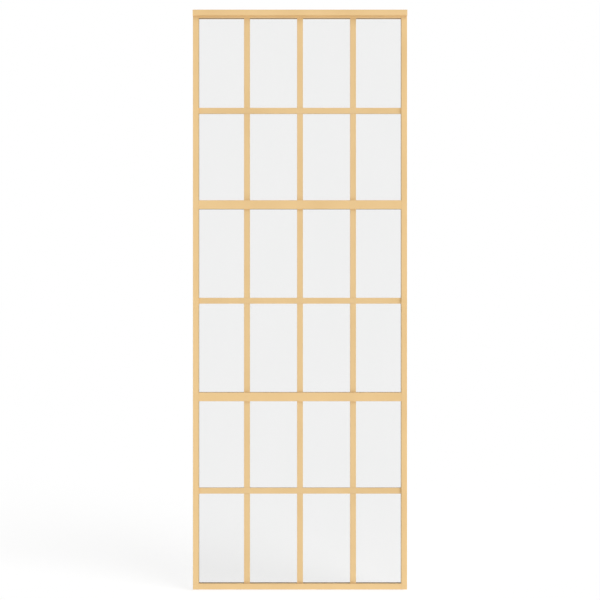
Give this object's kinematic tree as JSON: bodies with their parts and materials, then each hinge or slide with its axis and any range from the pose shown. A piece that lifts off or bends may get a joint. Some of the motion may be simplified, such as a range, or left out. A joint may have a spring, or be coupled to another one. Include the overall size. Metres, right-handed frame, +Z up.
{
  "type": "sliding door",
  "caption": "Tall framed glass sliding door leaf divided by glazing bars, hung on rollers in a slim head track along which it slides.",
  "frame": {"origin": "under the middle of the leaf, at the level of its underside", "axes": "+X to the right seen from the front, +Y from the front to the back, +Z up"},
  "size_m": [0.758, 0.045, 2.05],
  "materials": {
    "gold_frame": "satin anodised",
    "gold_bar": "satin anodised",
    "glass": "clear tempered",
    "seal": "matt",
    "steel": "zinc plated",
    "roller": "nylon",
    "block": "nylon",
    "stop": "matt",
    "liner": "matt",
    "cap": "satin"
  },
  "bodies": {
    "head": {"head_track": "gold_frame", "track_stop_front_left": "stop", "track_stop_front_right": "stop", "track_stop_back_left": "stop", "track_stop_back_right": "stop", "stop_screws": "steel"},
    "leaf": {"top_rail": "gold_frame", "bottom_rail": "gold_frame", "upper_mid_rail": "gold_frame", "lower_mid_rail": "gold_frame", "left_stile": "gold_frame", "right_stile": "gold_frame", "front_lower_left_bar": "gold_bar", "front_lower_centre_bar": "gold_bar", "front_lower_right_bar": "gold_bar", "front_middle_left_bar": "gold_bar", "front_middle_centre_bar": "gold_bar", "front_middle_right_bar": "gold_bar", "front_upper_left_bar": "gold_bar", "front_upper_centre_bar": "gold_bar", "front_upper_right_bar": "gold_bar", "back_lower_left_bar": "gold_bar", "back_lower_centre_bar": "gold_bar", "back_lower_right_bar": "gold_bar", "back_middle_left_bar": "gold_bar", "back_middle_centre_bar": "gold_bar", "back_middle_right_bar": "gold_bar", "back_upper_left_bar": "gold_bar", "back_upper_centre_bar": "gold_bar", "back_upper_right_bar": "gold_bar", "front_lower_cross_bar": "gold_bar", "front_middle_cross_bar": "gold_bar", "front_upper_cross_bar": "gold_bar", "back_lower_cross_bar": "gold_bar", "back_middle_cross_bar": "gold_bar", "back_upper_cross_bar": "gold_bar", "lower_pane": "glass", "middle_pane": "glass", "upper_pane": "glass", "lower_seal": "seal", "middle_seal": "seal", "upper_seal": "seal", "left_frame_screws": "steel", "right_frame_screws": "steel", "block_screws": "steel", "left_axle": "steel", "right_axle": "steel", "axle_clips": "steel", "left_roller_block": "block", "right_roller_block": "block", "guide_liner": "liner", "left_stile_cap": "cap", "right_stile_cap": "cap"},
    "front_left_roller": {"front_left_wheel": "roller"},
    "front_right_roller": {"front_right_wheel": "roller"},
    "back_left_roller": {"back_left_wheel": "roller"},
    "back_right_roller": {"back_right_wheel": "roller"}
  },
  "joints": [
    {"name": "leaf_slide", "type": "slide", "parent": "head", "child": "leaf", "axis": [1, 0, 0], "range_m": [-0.2, 0.2]},
    {"name": "front_left_roll", "type": "hinge", "parent": "leaf", "child": "front_left_roller", "pos_m": [-0.15, -0.0165, 2.0388], "axis": [0, 1, 0], "continuous": true},
    {"name": "front_right_roll", "type": "hinge", "parent": "leaf", "child": "front_right_roller", "pos_m": [0.15, -0.0165, 2.0388], "axis": [0, 1, 0], "continuous": true},
    {"name": "back_left_roll", "type": "hinge", "parent": "leaf", "child": "back_left_roller", "pos_m": [-0.15, 0.0165, 2.0388], "axis": [0, 1, 0], "continuous": true},
    {"name": "back_right_roll", "type": "hinge", "parent": "leaf", "child": "back_right_roller", "pos_m": [0.15, 0.0165, 2.0388], "axis": [0, 1, 0], "continuous": true}
  ],
  "couplings": [
    {"joint": "front_left_roll", "follows": "leaf_slide", "rad_per_m": 153.85},
    {"joint": "front_right_roll", "follows": "leaf_slide", "rad_per_m": 153.85},
    {"joint": "back_left_roll", "follows": "leaf_slide", "rad_per_m": 153.85},
    {"joint": "back_right_roll", "follows": "leaf_slide", "rad_per_m": 153.85}
  ]
}
